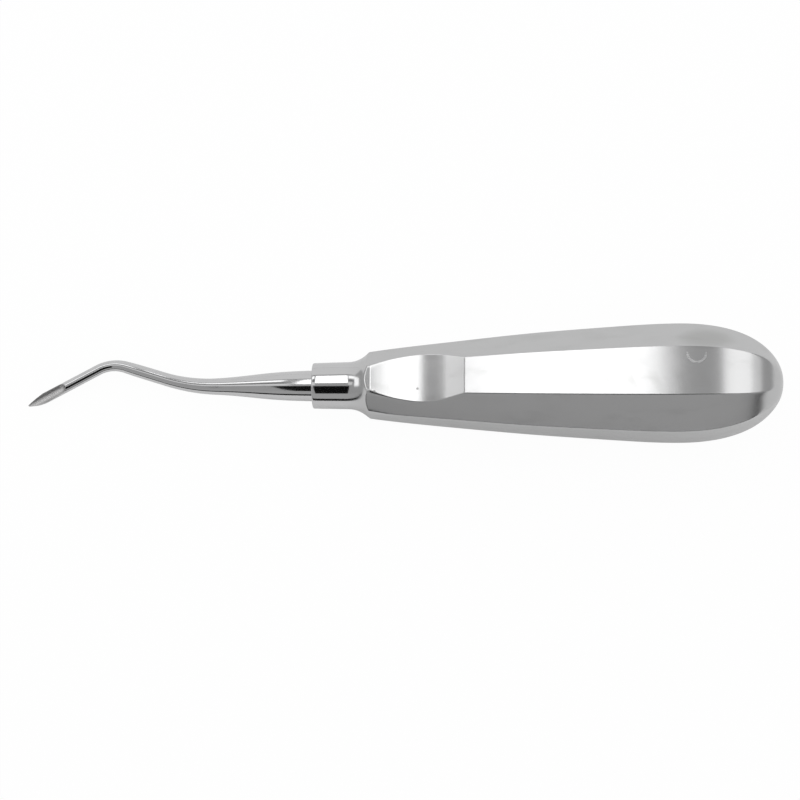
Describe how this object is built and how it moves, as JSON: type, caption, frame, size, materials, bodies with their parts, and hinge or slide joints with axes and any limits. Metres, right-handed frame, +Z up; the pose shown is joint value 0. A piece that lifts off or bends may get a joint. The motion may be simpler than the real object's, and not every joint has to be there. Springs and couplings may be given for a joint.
{
  "type": "dental elevator",
  "caption": "Dental elevator: hollow faceted pear handle with a collar and a thumb scoop, a bent tapered shank and a narrow pointed gouge blade for loosening tooth roots.",
  "frame": {"origin": "centre of the flat stretch of the handle's bottom facet, which is the face it rests on", "axes": "+X towards the domed butt and -X towards the tip, +Y to the side that the shank first bends to, +Z up through the facet with the thumb scoop"},
  "size_m": [0.1568, 0.023, 0.0234],
  "materials": {
    "handle_steel": "satin ground flats, polished collar",
    "shank_steel": "mirror polished stainless steel, matt gouge face"
  },
  "bodies": {
    "root": {"handle": "handle_steel", "working_end": "shank_steel"}
  },
  "joints": []
}
